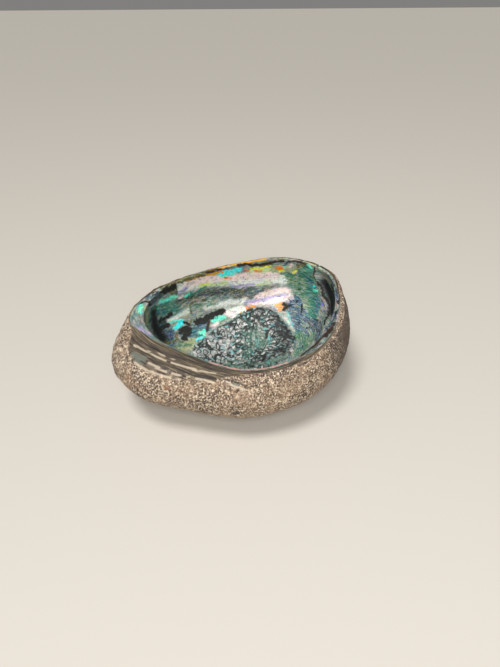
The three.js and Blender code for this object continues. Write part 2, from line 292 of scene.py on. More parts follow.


# Soft washes of colour in the nacre, some of them painted reflections and painted shade.
washes = {
    # Rose and silver: the nacre's own pale colours, painted brighter in bands above and below the
    # dark band on the far wall as painted reflections.
    "rose_and_reflection": [
        (4, 0.8, (119.8, 4.6), (105.7, 6.6), (88.4, 9.3), (72, 11.3), (59.7, 13.1), (51.5, 14.3)),
        (2, 1, (118.2, 3.4), (109.9, 4.5), (98.8, 5.8), (91, 7.8)),
        (2, 1, (85.9, 10), (75.9, 10.5), (68.2, 10.3), (59.7, 13.1), (53.4, 12.4)),
        (3, 1, (61.9, 31.3), (54.9, 30.1), (48.6, 28.1), (42.3, 27.3), (39, 31.7)),
        (2.8, 1, (68, 34.9), (58.6, 36.1), (49.5, 35.6), (43.2, 33.4), (38.9, 35.1)),
        (1.3, 0.9, (43.2, 6.6), (41.4, 4.4)),
        (2, 0.8, (108.2, 45.7), (101.9, 44.4)),
        (2.5, 0.9, (91.2, 39.2), (84.4, 41.4)),
        (1, 0.9, (127.4, 14.5), (125, 13.9)),
    ],
    "silver_and_reflection": [
        (3.6, 1, (126.1, 8), (114.1, 8.5), (97.2, 10.7), (76, 15.7), (59.6, 18.4), (45.1, 19.3)),
        (3, 0.8, (108.6, 28.4), (90.4, 31.1), (72.3, 32.4)),
        (2.4, 1, (126.1, 4.5), (118.2, 5.2), (109.9, 6.3), (97.1, 8), (83.4, 11.5)),
        (2.2, 0.9, (83.4, 12.3), (72, 14.8), (61, 17.2), (51.4, 17), (45.3, 15.9)),
        (2, 0.8, (139.7, 27.6), (134.3, 28.4), (127.7, 28.2), (123.4, 27.6)),
        (3, 1, (88.8, 38), (81, 38.9), (74.2, 37.8)),
        (0.7, 0.9, (76.1, 20.9), (68.2, 17.3)),
        (0.7, 0.9, (68.2, 20.7), (63, 20.2)),
        (1.5, 0.7, (102.1, 28.4), (91.1, 29.3), (80.1, 30.1)),
    ],
    "sand": [
        (3, 0.9, (51.6, 9), (45.6, 7.9), (41.3, 10.7), (37.9, 6.1)),
        (1.8, 0.6, (24.1, 1), (20.6, 4.8), (18, 8)),
        (4.5, 1, (207.3, 0.5), (144.4, 53.6), (138.3, 51.1)),
        (3.6, 1, (207, 0.5), (149.7, 53.1), (141.4, 51.6), (132.9, 48.1), (127.9, 46.1)),
        (2, 0.9, (157.5, 0), (153.8, 11.8), (155.3, 17.3)),
        (1.8, 0.9, (34.5, 15.7), (33.4, 20.5), (31.5, 24.8), (28.8, 30.4), (25.6, 35.7)),
        (1.5, 0.9, (30, 35.4), (25.8, 38.6), (21.5, 40.4), (18, 39.6)),
        (2, 0.9, (21.1, 58.4), (10.5, 56.7)),
    ],
    "sage": [
        (5, 1, (42.3, 14.5), (37.6, 21.1), (34.9, 29.6)),
        (6, 1, (18.1, 58.5), (5.8, 54.8), (1, 59.7)),
        (3, 0.9, (44.2, 13.9), (41, 15.9), (38.8, 20.6), (37.4, 16.7), (36.6, 9.4)),
        (3.4, 1, (22.5, 57.1), (16, 56.4), (7.3, 54), (4.3, 57.5)),
        (2, 1, (12.8, 47), (7.3, 46.1), (4.8, 49.2)),
        (2.2, 0.7, (117, 26.6), (108.4, 27.6), (99.3, 28.2)),
        (2, 0.8, (141.1, 53.3), (210.7, 0.5)),
    ],
    "jade": [
        (6, 1, (32.5, 7.7), (29.4, 17.8), (25.3, 28.5), (21.6, 38.6)),
        (4.5, 1, (147.1, 14.6), (139.8, 16.8), (131.6, 21)),
        (3.2, 0.9, (147.6, 11.5), (141.6, 13.7), (135.8, 16), (131.7, 18.4)),
        (3.4, 1, (33.1, 7.1), (31.7, 12.8), (30, 18.1), (29.9, 23.2)),
        (3.2, 1, (30, 25.8), (25.9, 28.8), (21.3, 32.9), (19.6, 39)),
        (1.2, 0.9, (118.9, 15.6), (112.1, 14.5), (106, 13.2)),
        (1, 0.9, (151.2, 15.2), (152.9, 19.7), (183.1, 0.5), (190.3, 0.5)),
    ],
    "blue": [
        (5, 1, (37.6, 37.3), (30.9, 45.8), (24.3, 52.6)),
        (4.5, 1, (149.1, 34.4), (143.4, 36.5), (149.3, 41.4)),
        (3.4, 1, (146.9, 32.3), (149.9, 37), (151.8, 41.2)),
        (3, 1, (142.3, 34.2), (144, 39.3)),
        (1.8, 1, (126.4, 40.2), (122.3, 41.4), (115.7, 42.3), (111.7, 40.8)),
        (3.4, 1, (36.1, 42.2), (31.5, 48), (26.9, 53)),
        (3, 1, (35.8, 31.6), (33.4, 37.7), (28.2, 41.8), (23.5, 45.8)),
        (1.4, 0.9, (18.4, 52.7), (11.5, 52.6)),
        (1.2, 1, (46.2, 5.3), (44.4, 2.7)),
        (1.6, 0.9, (134.2, 43), (133.5, 46.6)),
    ],
    "slate": [
        (4, 1, (17.5, 45.2), (7.7, 40.8), (2.4, 43.5)),
        (1, 1, (91.8, 0.8), (85.7, 1.4), (79, 1.7), (71.9, 1.9)),
        (1, 0.9, (28.7, 0.5), (27.4, 0.4)),
        (2.6, 1, (20.6, 45.7), (15.5, 44.4), (11.2, 39.7), (8.4, 39.5), (6.7, 44.2)),
        (3, 1, (149.5, -5), (147, -2), (143, 0.5)),
        (2.6, 1, (152, 2), (146, 4.5), (141, 4.5)),
        (2.6, 1, (-17, -1.6), (-24, -2), (-30, -1.2)),
        (2.4, 1, (-57, -2.2), (-52, -3), (-47, -3.6)),
        (1.6, 0.9, (-44, -1.5), (-37, -1.8)),
        (2, 0.9, (9, 15), (7, 19)),
        (1.6, 1, (19, 1.2), (14, 1.2), (9, 0.6), (4, -1)),
        (1.6, 1, (4, -1.8), (-2, -2.2), (-6, -2.2)),
    ],
    "teal": [
        (4, 1, (132.1, 45.2), (125.6, 47), (116.7, 45.2)),
        (2, 0.8, (15, 17.1), (10.1, 18.2), (8, 23.8)),
        (2.6, 1, (23.1, 26.2), (20.9, 29.9), (20.3, 34.8)),
        (2.2, 0.8, (31.1, 12.5), (29, 15.8)),
        (2.2, 0.9, (130.3, 42.9), (124.4, 45.5), (118.4, 44.7)),
        (4, 0.8, (146, 24), (145, 32), (144, 40)),
        (1, 0.9, (23.2, 59.9), (21.8, 55.4)),
        (1, 0.9, (3, 62.6), (5.1, 60.2), (1.1, 56.3)),
        (2.4, 0.8, (145.7, 16.6), (140.4, 19)),
    ],
    # Painted shade: near black teal in the slit behind the step and in the hollow towards the spire
    # end.
    "painted_recess_shade": [
        (4.6, 1, (22, 12.4), (17.6, 17), (13.4, 21), (10.7, 26)),
        (2.4, 0.8, (16, 10), (11, 14), (7, 19), (5, 24)),
        (4.6, 1, (148, 14.4), (148.8, 20.7), (150.5, 27.7), (151.5, 34.9)),
        (2, 0.7, (145.1, 24.2), (142.3, 27.5)),
        (1.6, 1, (21.4, 9.1), (18.7, 13.3), (14.2, 15.3), (10.9, 16.3)),
    ],
    "scar_dark": [
        (8, 1, (37, 56.5), (23.7, 66.4), (13, 75.6), (11.4, 83.6)),
        (4, 0.8, (61.1, 41.3), (51.7, 43), (44.4, 48.2)),
    ],
    "scar_sage": [
        (3.6, 1, (150.1, 91.5), (-44.9, 86.9), (-9.4, 81.5), (-5, 71.9)),
        (6, 0.8, (60.4, 64.3), (45.5, 78.7), (59.4, 80.3)),
    ],
    "scar_pale": [
        (8, 0.9, (143.3, 63.3), (126.1, 60.7), (107.5, 59.2), (137.6, 73)),
    ],
    # Painted dark reflection: a dark band along the far wall where it bends towards the floor.
    "painted_dark_reflection": [
        (
            3.4, 0.8, (128.5, 17.4), (122.4, 17.6), (115, 17.9), (106.5, 17.9), (97.9, 19.3),
            (89, 19.7), (80.4, 21.7), (72.1, 24.2), (66.6, 22.8),
        ),
        (3.2, 1, (106.5, 17.9), (97.9, 19.7), (89.1, 20.6), (80.4, 22.1)),
        (1.8, 0.95, (80.8, 27.4), (68.1, 30), (59.2, 27.7), (52.7, 25.4)),
        (1.2, 0.8, (88.7, 15.5), (76, 17.5), (68.2, 19)),
        (1.4, 0.6, (59.5, 20.9), (51.7, 22.1), (45.7, 19.4)),
        (2.2, 0.6, (47.2, 13.4), (44.3, 10.4), (42.3, 14.5)),
        (1.5, 0.5, (89.6, 32.1), (81.3, 33.9), (73.2, 33.9)),
    ],
    "lilac": [
        (1.8, 0.9, (127.7, 10), (123.9, 10), (121.5, 8.3)),
        (1.6, 0.8, (72.3, 33.7), (58.7, 34.4), (49.9, 33.1), (42.4, 30.7)),
        (2.4, 0.8, (174.7, -5.6), (177.9, -3.5), (179.6, -2.6)),
        (1.4, 0.8, (82.8, 18.6), (72.9, 19), (64.5, 19.9)),
    ],
    # Mint: flecks of the nacre's mint colour, and painted highlights such as the mint-white spot by
    # the notch.
    "mint": [
        (1.9, 1, (141.2, 9.7), (136.6, 11.1), (132.3, 12), (129.3, 11.8)),
        (1, 0.9, (123.6, 15.3), (119.5, 14.5)),
        (0.9, 0.9, (150.9, 13.8), (147.8, 13.1), (143.3, 13.4)),
        (0.9, 1, (138.8, 29.1), (133.4, 31.6), (128.9, 32.6)),
        (2.3, 1, (105.6, 41), (101.4, 41.1), (94.9, 40.9)),
        (1.4, 1, (124.1, 47.6), (119.4, 47.3), (121.2, 50.7)),
        (1.2, 1, (31.8, 0), (30, 2.8)),
        (0.9, 0.9, (27.1, 20.9), (24.6, 19.8)),
        (2, 0.9, (156.5, -4.1), (161.8, -3)),
        (1, 0.8, (74.4, 41.8), (78.7, 45)),
        (1.2, 1, (91, 7.8), (85.8, 7.3), (81.6, 7.9)),
        (1, 1, (82.4, 3.6), (77.4, 3.4)),
        (0.8, 1, (56, 4), (52.9, 3.9)),
        (0.8, 0.9, (46.8, 6.7), (45.6, 5.7)),
    ],
    # Cyan: flecks of the nacre's cyan, painted whitish as a highlight.
    "cyan": [
        (2.6, 1, (92.4, 4.6), (86.6, 4.6), (82.4, 4.8), (76.6, 4.2)),
        (1.9, 1, (140.5, 35.6), (136.6, 35.3), (133.3, 34.4), (130.5, 34)),
        (1, 1, (152.6, 41.6), (150.3, 43), (144.2, 41.5)),
        (1, 0.9, (132.5, 51.9), (124.5, 51.7)),
        (1.1, 0.55, (38.9, 44.7), (34, 50.8), (28.6, 55.9)),
        (1.2, 1, (27.6, 17.3), (27.2, 17.5)),
    ],
    "pink": [
        (2.6, 1, (230, -0.9), (242, -1.6), (252, -2), (262, -2.1), (272, -2), (284, -1.5)),
    ],
    "dark": [
        (1.9, 1, (236, -4.8), (252, -5.4), (264, -5.4), (276, -5), (288, -4.2), (300, -4)),
    ],
    "lime": [
        (1.6, 1, (110.9, 10.5), (99.9, 12.2), (87.7, 13.9)),
        (2.2, 0.9, (68.2, 7.6), (59.8, 8.7), (52.2, 9.9)),
        (1, 0.8, (62.3, 21.2), (53, 21.1)),
    ],
}
# Marks with crisp edges: stains, painted shade down the slit behind the step, painted glints on the
# step's edge, and flecks of colour near the rim.
marks = {
    "stain_and_slit_shade": [
        (1.5, 1, (144.5, 23), (140.6, 24.2), (135.6, 24)),
        (1.7, 1, (147.3, 28.9), (143.9, 29.9), (140.6, 30.6)),
        (2.4, 1, (136.2, 39.7), (131.3, 39.4), (130.4, 41.9), (135.5, 44.4), (138.8, 45.7)),
        (1.3, 1, (129, 34.4), (128.2, 37.5)),
        (2.6, 1, (120.4, 38.4), (115, 39.4), (110.3, 38.1), (104.8, 37)),
        (2.2, 1, (104.8, 37), (97.6, 36.5), (93.6, 36.6)),
        (1, 1, (36, 24), (35.3, 24.2)),
        (0.8, 0.9, (35.3, 34.9), (34.7, 34.7)),
        (0.6, 1, (31.5, 35.2), (29.8, 38.9), (29.1, 43.1)),
        (0.7, 0.9, (26.7, 49.7), (26.2, 52.6)),
        (0.7, 0.8, (19, 49.9), (17.1, 50.3)),
        (0.7, 1, (4.1, 58.8), (4.7, 57.9)),
        (0.6, 0.9, (19.9, 41.2), (15.1, 39.8)),
        (0.8, 1, (39.1, 39.4), (37.9, 38.7)),
        (0.8, 1, (156.3, -5.7), (153.8, -3.3), (153.4, -0.5), (149.6, 4.9)),
        (2, 1, (178.6, -9.9), (183.9, -8.3), (189.4, -6.5), (195, -6.5)),
        (3, 1, (138.2, 1.6), (133.5, 3.2), (131.3, 2.7)),
        # Painted shade: thin dark lines down the slit behind the step.
        (0.8, 1, (24.7, 13.3), (23.1, 15.7), (21.1, 18.7)),
        (0.9, 0.9, (21.3, 18), (17.8, 22.2), (14.5, 24.4), (11.9, 27.1), (9.8, 31.2)),
        (0.9, 1, (9.8, 31.2), (7.3, 35.1)),
        (1.2, 0.9, (-6, -3.2), (-8, -3)),
        (1.2, 0.8, (-15, -3), (-17, -3)),
    ],
    "umber": [
        (1.3, 1, (104.8, 0.2), (98.8, 0.3), (91.8, 0.3)),
        (1.1, 1, (68.1, 2.7), (62.5, 3.6), (57.9, 3.7), (52.9, 3)),
        (1, 1, (51.6, 2.7), (46.8, 2.1)),
        (1.7, 1, (42.8, 38.4), (40.2, 40.5), (40.8, 43.3)),
        (0.7, 1, (27.5, 1.3), (27.2, 7.7), (26.1, 11.5), (24.7, 13.3)),
        (0.5, 0.7, (22.9, 20.9), (20.7, 23.7), (18.2, 26), (15.1, 27.7), (11.9, 29.7)),
        (1, 0.9, (108.9, 39.4), (112.9, 44.5), (116.7, 48.1)),
        (1.5, 1, (-39, -4.6), (-33, -5), (-26, -4.4)),
        (1.2, 1, (298, -1.6), (-57, -1.2), (-50, -1.6), (-42, -2.6), (-32, -3.4)),
        (1.2, 1, (77.4, 0.2), (71.9, 1), (68.1, 1.3)),
        (1, 0.9, (43.8, 1.2), (39, 0.5), (33.6, 0)),
    ],
    "olive": [
        (1.8, 0.95, (104, -1.2), (116, -1.4), (128, -1.4), (139, -1.2)),
        (1.5, 0.8, (28, -0.8), (40, -1), (54, -1)),
        (1.2, 0.9, (308, -2.6), (316, -3), (324, -3.2)),
        (1.2, 1, (131.4, 0.5), (127.7, 0)),
        (1.2, 1, (126.2, 0.4), (123.8, 1.9)),
        (0.8, 1, (138.9, 0.5), (134.2, 4.6), (132.1, 9.4)),
        (0.8, 1, (136, 0.2), (132, 5), (129.2, 10.5)),
        (0.8, 1, (130.7, 0.3), (129.1, 5.7), (128.5, 10.5)),
        (1.1, 1, (140.4, 40), (145.8, 43.7), (202.7, 0.5)),
        (0.7, 0.9, (143.9, 44.2), (143.8, 46.9), (141.2, 47.7)),
        (0.8, 1, (116, 22.7), (119.3, 22.4), (120.9, 25.2), (121.9, 28.2), (120.8, 29.9)),
        (1, 1, (110.1, 23.7), (106.5, 23.5)),
        (1.6, 1, (37.9, 4.3), (35.5, 3.5), (34.3, 1.1)),
        (1.1, 0.9, (126.6, 37.8), (124.6, 35.9)),
        (1.4, 0.9, (115, 0.2), (107.4, 0.2)),
        (1.3, 1, (59.8, 3.7), (53.5, 3.9)),
        (1.6, 1, (122.3, 0.3), (114.9, 1), (107.4, 1.6)),
    ],
    "gold": [
        (1.5, 0.85, (58, -0.8), (72, -1.1), (88, -1.1), (102, -1)),
        (1.3, 1, (114.1, 0.4), (109.9, 1.8)),
        (0.7, 1, (103.1, 2.5), (98.8, 2.3), (94.4, 2.2)),
        (0.8, 0.9, (35.5, 4.4), (34.3, 2.1)),
        (0.7, 0.8, (80.8, 44.6), (75.3, 40.8)),
        (1.1, 1, (121.5, 1.6), (113.2, 2.5), (108.2, 2.8)),
        (0.9, 1, (104.8, 2.8), (98.8, 3), (93.5, 3.1)),
        (0.9, 0.9, (59.8, 4.6), (54.7, 4.6)),
    ],
    "yellow": [
        (1.1, 1, (66.7, 6.2), (62.5, 6.7), (58.5, 6.7), (54.7, 6)),
        (0.9, 1, (40.1, 11.3), (38.4, 8.6)),
        (0.8, 0.8, (49.1, 11.3), (46.1, 10.7)),
        (1.1, 0.6, (110, 9.9), (101.6, 11.3)),
    ],
    "orange": [
        (0.8, 1, (93.5, 2.1), (90, 4)),
        (0.7, 1, (71.9, 6), (68.9, 7.5)),
        (1, 1, (64.6, 9.1), (60.4, 9.6)),
        (1.1, 0.9, (50.4, 7.7), (47.4, 8.4), (49.2, 10)),
        (1.9, 1, (47.2, 40.6), (44.6, 39.5), (44.5, 42.9)),
        (1, 0.5, (74.1, 36.2), (63.8, 37.9)),
        (0.8, 0.8, (89.3, 8.7), (83.3, 11)),
        (0.9, 0.7, (63.8, 38.7), (71.5, 38.3)),
    ],
    "glint": [
        (0.8, 1, (18.9, 26.6), (17.3, 27.9)),
        (0.8, 1, (15.9, 30.2), (14.4, 30.5)),
    ],
    "track": [
        (0.8, 1, (45.1, 71.9), (46.9, 64.4), (44, 60.4), (39.7, 58), (34.5, 58)),
        (0.7, 1, (40.2, 70.8), (39.5, 65.2), (35.4, 62.5), (29.3, 64.1)),
        (0.7, 1, (56, 57.1), (50.8, 53.5), (44.5, 52.8), (36.7, 55.5)),
        (0.8, 1, (67.8, 43.9), (61.9, 41.2), (54.9, 41.8), (48.4, 44.9)),
        (0.7, 1, (34.1, 70.2), (32.8, 66.4), (27, 68.1), (24.8, 72.3)),
        (0.9, 1, (32.1, 96.3), (-1.9, 92.4)),
        (0.9, 1, (19.7, 94.4), (-6.2, 87.2)),
        (1, 1, (52.4, 94.3), (47.5, 96.2)),
        (0.8, 1, (252.6, 83.5), (270.3, 83.2)),
        (0.8, 1, (152.2, 89.6), (155.9, 93.4), (181.4, 92.4)),
        (0.7, 0.9, (26.5, 87.9), (19.9, 83.5), (10.3, 76.2)),
    ],
}
# On the lip and the shoulder: pale and dark edges of the layers, and rust on the crust.
edge_marks = {
    "cream": [
        (0.8, 1, (185.7, -17.5), (190.4, -16.5), (195.3, -16.1)),
        (0.7, 1, (195.3, -16.1), (200.6, -16), (205.7, -15.3)),
        (0.8, 1, (209.2, -14.6), (214, -13.7), (219, -13), (224, -12.2)),
        (0.6, 0.9, (224, -12.2), (230.3, -11.2), (236.8, -10.4)),
        (0.6, 0.9, (194.2, -14.8), (198.7, -13.9), (204.3, -12.2), (209.2, -11.1)),
        (1.2, 1, (199.9, -23.2), (203.9, -22.4), (207.2, -21.8)),
        (1, 1, (208.6, -22), (211.7, -20.1)),
        (1, 1, (213.3, -20.6), (217.5, -19.5)),
        (0.7, 1, (194.7, -27.2), (199.7, -27.1), (203.3, -26)),
        (0.8, 1, (204, -26.2), (208.6, -24.8), (213.8, -23.7), (218.7, -22)),
        (0.8, 0.9, (220.9, -19.1), (222.6, -17.5)),
        (0.9, 0.9, (226.4, -17.5), (231, -16.4), (237.1, -16.2)),
        (0.8, 0.9, (243.8, -13.1), (248.7, -15.3), (255.4, -17.2)),
    ],
    "moss": [
        (2, 1, (190.3, -22.5), (193.5, -22.4), (196.2, -21.8)),
        (1.6, 0.9, (194.2, -25.7), (197.2, -24.8)),
        (1.4, 1, (248.6, -14.4), (250.9, -14.4)),
    ],
    "soot": [
        (0.7, 1, (196, -24), (200.3, -23.8), (204.1, -23.6)),
        (
            0.7, 1, (206.7, -24.7), (210.3, -22.7), (212.5, -20.4), (212.4, -19.2), (210.1, -19.6),
            (206.6, -21),
        ),
        (0.8, 1, (214.3, -22.6), (218.2, -20.9), (220, -18.5), (218.6, -18.1), (215.8, -18.6)),
        (1, 0.9, (198.4, -19.7), (203.3, -19.2), (206.7, -18.3)),
        (1, 0.9, (210.9, -17), (217, -16.4), (223, -15.6)),
        (1.2, 0.9, (225.4, -15.2), (231.7, -14.8), (237.2, -14.2)),
        (0.8, 1, (242.4, -12.2), (247.3, -12.4), (252, -13.7), (255.4, -14.7)),
        (0.8, 0.7, (257.6, -15.3), (261.1, -14)),
        (1.5, 0.8, (191.6, -12.1), (197.5, -11.1), (205.3, -10.1), (213.6, -8.6)),
        (0.7, 0.8, (184.5, -13.5), (190.2, -10.6), (196, -9.6)),
        (1.3, 1, (248.4, -34.2), (251.2, -32.7)),
        (0.8, 0.9, (288.8, -9.1), (292.8, -9.6), (297.3, -9.7)),
        (1, 0.7, (240, -7.2), (246.7, -7.2), (251.9, -7.9)),
    ],
    "rust": [
        (1.2, 0.8, (213.8, -30.1), (215.3, -30.4)),
        (2.5, 0.5, (196.3, -36.9), (201.4, -39.1), (206.3, -39.9)),
        (1.5, 0.5, (231, -26.7), (234.2, -26.7)),
    ],
}

# Where the crust ends and the nacre begins on the lip, as places across the wall by angle.
CRUST_ENDS = np.array([
    (0, 1.35), (20, 1), (30, 0.9), (150, 0.9), (160, 1), (176, 1), (182, 0.6), (186, 0.38),
    (194, 0.2), (222, 0.22), (230, 0.28), (238, 0.42), (246, 0.66), (256, 0.84), (284, 0.9),
    (300, 0.9), (312, 0.96), (326, 1.1), (340, 1.35),
])
NACRE_STARTS = np.array([
    (0, 1.6), (15, 1.65), (30, 1.6), (60, 1.5), (128, 1.5), (138, 1.45), (150, 1.2), (158, 1.1),
    (172, 1.1), (178, 1.5), (190, 1.75), (215, 1.8), (228, 1.55), (240, 1.32), (270, 1.28),
    (288, 1.45), (300, 1.4), (312, 1.25), (330, 1.3), (345, 1.4),
])
past_crust = across - np.interp(around, CRUST_ENDS[:, 0], CRUST_ENDS[:, 1], period=360)
past_horn = across - np.interp(around, NACRE_STARTS[:, 0], NACRE_STARTS[:, 1], period=360)
colour_fields = {name: painted(strokes, 0, 1.9) for name, strokes in washes.items()}
colour_fields |= {name: painted(strokes, 0.5, 1.5) for name, strokes in marks.items()}
colour_fields |= {name: painted(strokes, 0.3, 1.7, 0.35) for name, strokes in edge_marks.items()}
# Painted shade: the outside darker and greyer round the growing end.
colour_fields["growing_end_shade"] = 1 - soft_step(np.abs(wrap(around - 350)), 18, 54)
colour_fields["growing_end_shade"] *= 1 - soft_step(across, 0.6, 1.3)
colour_fields["worn"] = 1 - soft_step(across, -0.65, -0.2)
colour_fields["far_lip"] = soft_step(around, 8, 24) * (1 - soft_step(around, 150, 172))

# THE SHELL'S MESH
# The columns joined up, closed by one point at the crown and one at the bowl's floor. It lies in
# the frame where the plain wall's middle is the middle of the frame's own shell.
shell_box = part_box("shell")
lowest, highest = (np.array(corner) for corner in shell_box)
plain = points.reshape(-1, 3)
to_frame = (lowest + highest) / 2 - (plain.min(axis=0) + plain.max(axis=0)) / 2 * MM
to_frame[2] = lowest[2]
rows = len(points)
ends = np.array([
    [*CROWN_MIDDLE, 0],
    [*FLOOR_MIDDLE, FLOOR_HEIGHT + SCAR_HEIGHT * scar[-1].mean()],
])
vertices = np.concatenate([grown.reshape(-1, 3), ends]) * MM + to_frame
place = np.arange(rows * COLUMNS).reshape(rows, COLUMNS)
beside = np.roll(place, -1, axis=1)
crown_end = rows * COLUMNS
floor_end = crown_end + 1
faces = np.stack([place[:-1], beside[:-1], beside[1:], place[1:]], axis=-1).reshape(-1, 4).tolist()
faces += [(crown_end, after, here) for here, after in zip(place[0].tolist(), beside[0].tolist())]
faces += [(here, after, floor_end) for here, after in zip(place[-1].tolist(), beside[-1].tolist())]
shell_mesh = bpy.data.meshes.new("shell")
shell_mesh.from_pydata(vertices.tolist(), [], faces)
shell_mesh.shade_smooth()

fields = {
    "scar": scar,
    "worm": worm,
    "past_crust": past_crust,
    "past_horn": past_horn,
    **colour_fields,
}
for name, values in fields.items():
    attribute = shell_mesh.attributes.new(name, "FLOAT", "POINT")
    ends_too = np.concatenate([values.ravel(), [values[0].mean(), values[-1].mean()]])
    attribute.data.foreach_set("value", ends_too.astype(np.float32))
attribute = shell_mesh.attributes.new("growth", "FLOAT_VECTOR", "POINT")
growth_ends = [growth[0].mean(axis=0), growth[-1].mean(axis=0)]
ends_too = np.concatenate([growth.reshape(-1, 3), growth_ends])
attribute.data.foreach_set("vector", (ends_too * MM).astype(np.float32).ravel())

shell = bpy.data.objects.new("shell", shell_mesh)
bpy.context.scene.collection.objects.link(shell)
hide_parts("shell")
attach(shell, "root")

# THE PORES AND THE NOTCH
# Five open breathing pores, left as holes in the wall as it grew, wider towards the growing
# end, and a narrow notch in the lip where the step starts.
PORES = {"first": 232, "last": 308, "count": 5, "depth": 0.42, "narrow": 4, "wide": 6.4}
PORE_OVERRUN = 5
NOTCH = {"width": 3.4, "depth": 4.5, "length": 16}


def at_angle(surface, angle):
    return surface[np.abs(wrap(angles - angle)).argmin()]


def cut(name, corners, sides):
    """Cuts a bar with a number of sides, given by the corners of its two ends, out of the shell."""
    around_bar = [(i, (i + 1) % sides, (i + 1) % sides + sides, i + sides) for i in range(sides)]
    caps = [tuple(reversed(range(sides))), tuple(range(sides, 2 * sides))]
    mesh = bpy.data.meshes.new(name)
    mesh.from_pydata((np.array(corners) * MM + to_frame).tolist(), [], around_bar + caps)
    for name_of_field in fields:
        values = mesh.attributes.new(name_of_field, "FLOAT", "POINT")
        bare = -1 if name_of_field.startswith("past_") else 0
        values.data.foreach_set("value", [bare] * len(corners))
    cutter = bpy.data.objects.new(name, mesh)
    bpy.context.scene.collection.objects.link(cutter)
    modifier = shell.modifiers.new(name, "BOOLEAN")
    modifier.operation = "DIFFERENCE"
    modifier.solver = "EXACT"
    modifier.object = cutter
    graph = bpy.context.evaluated_depsgraph_get()
    cut_mesh = bpy.data.meshes.new_from_object(shell.evaluated_get(graph))
    shell.modifiers.clear()
    shell.data = cut_mesh
    bpy.data.objects.remove(cutter)


pore_outer = outside(np.full((1, COLUMNS), PORES["depth"]))[0]
pore_inner = inside(np.full((1, COLUMNS), PORES["depth"]))[0]
PORE_SIDES = 40
for index in range(PORES["count"]):
    share = index / (PORES["count"] - 1)
    angle = PORES["first"] + (PORES["last"] - PORES["first"]) * share
    radius = (PORES["narrow"] + (PORES["wide"] - PORES["narrow"]) * share) / 2
    outer = at_angle(pore_outer, angle)
    inner = at_angle(pore_inner, angle)
    way = (inner - outer) / np.linalg.norm(inner - outer)
    side = np.cross(way, [0, 0, 1])
    side /= np.linalg.norm(side)
    top = np.cross(way, side)
    corners = []
    for end, end_radius in (
        (outer - way * PORE_OVERRUN, radius * 1.3),
        (inner + way * PORE_OVERRUN, radius * 0.8),
    ):
        for corner in range(PORE_SIDES):
            bearing = 2 * math.pi * corner / PORE_SIDES
            rough = 1 + 0.06 * math.sin(3 * bearing + index) + 0.03 * math.sin(7 * bearing)
            turned = side * math.cos(bearing) + top * math.sin(bearing)
            corners.append(end + rough * end_radius * turned)
    cut(f"pore {index + 1}", corners, PORE_SIDES)

notch_middle = at_angle(lip_outer, STEP["angle"])
notch_way = np.append(at_angle(outward, STEP["angle"]), 0)
notch_side = np.cross([0, 0, 1], notch_way)
corners = []
for end in (-1, 1):
    for x, z in (
        (0, -NOTCH["depth"] * 0.67),
        (0.5, 0.33 * NOTCH["depth"]),
        (-0.5, 0.33 * NOTCH["depth"]),
    ):
        corners.append(
            notch_middle
            + notch_way * end * NOTCH["length"] / 2
            + notch_side * x * NOTCH["width"]
            + np.array([0, 0, z])
        )
cut("notch", corners, 3)

# The cuts leave many-sided faces round the pores and the notch: they are split into triangles.
split = bmesh.new()
split.from_mesh(shell.data)
bmesh.ops.triangulate(split, faces=split.faces[:])
split.to_mesh(shell.data)
split.free()

# THE SHELL'S MATERIAL
# Outside, a dull crust of pinkish tan with brown and grey specks. Inside, smooth nacre with a
# soft metallic shine. Between them, the edges of the wall's dark horny layers.
class Shade:
    """A value in a material: arithmetic on it adds the nodes that work it out."""

    def __init__(self, tree, socket):
        self.tree = tree
        self.socket = socket

    def node(self, kind, settings, inputs, output=0):
        """Any node, with its settings and then its inputs."""
        made = self.tree.nodes.new(kind)
        for name, setting in settings.items():
            setattr(made, name, setting)
        for name, value in inputs.items():
            if isinstance(value, Shade):
                self.tree.links.new(value.socket, made.inputs[name])
            else:
                made.inputs[name].default_value = value
        return Shade(self.tree, made.outputs[output]) if made.outputs else None

    def maths(self, operation, first, second=0.0):
        return self.node("ShaderNodeMath", {"operation": operation}, {0: first, 1: second})

    def __add__(self, other):
        return self.maths("ADD", self, other)

    __radd__ = __add__

    def __sub__(self, other):
        return self.maths("SUBTRACT", self, other)

    def __rsub__(self, other):
        return self.maths("SUBTRACT", other, self)

    def __mul__(self, other):
        return self.maths("MULTIPLY", self, other)

    __rmul__ = __mul__

    def __abs__(self):
        return self.maths("ABSOLUTE", self)

    def __or__(self, other):
        return self.maths("MAXIMUM", self, other)

    def ramp(self, low, high):
        """0 below low, 1 above high and a soft rise between. A low above high turns it round."""
        settings = {"interpolation_type": "SMOOTHSTEP"}
        inputs = {"Value": self, "From Min": low, "From Max": high}
        return self.node("ShaderNodeMapRange", settings, inputs)

    def between(self, first, second):
        """A colour this share of the way from a first colour to a second."""
        return self.node("ShaderNodeMix", {"data_type": "RGBA"}, {0: self, 6: first, 7: second}, 2)


def colour(red, green, blue):
    """A colour given in 0 to 255 steps, as light."""
    steps_of_light = (red / 255, green / 255, blue / 255)
    return (*(s / 12.92 if s < 0.04 else ((s + 0.055) / 1.055) ** 2.4 for s in steps_of_light), 1)


material = bpy.data.materials.new("shell wall")
material.use_nodes = True
tree = material.node_tree
tree.nodes.clear()
start = Shade(tree, None)


def field(name):
    output = 1 if name == "growth" else 2
    return start.node("ShaderNodeAttribute", {"attribute_name": name}, {}, output)


here = start.node("ShaderNodeTexCoord", {}, {}, 3)


def grain(size, detail=2.0, roughness=0.5, at=here, kind="Fac"):
    """Noise with lumps of a size in mm."""
    inputs = {"Vector": at, "Scale": 1 / (size * MM), "Detail": detail, "Roughness": roughness}
    return start.node("ShaderNodeTexNoise", {}, inputs, kind)


def stretched(x, y, z):
    """The places along the growth lines, scaled."""
    settings = {"operation": "MULTIPLY"}
    return start.node("ShaderNodeVectorMath", settings, {0: field("growth"), 1: (x, y, z)})


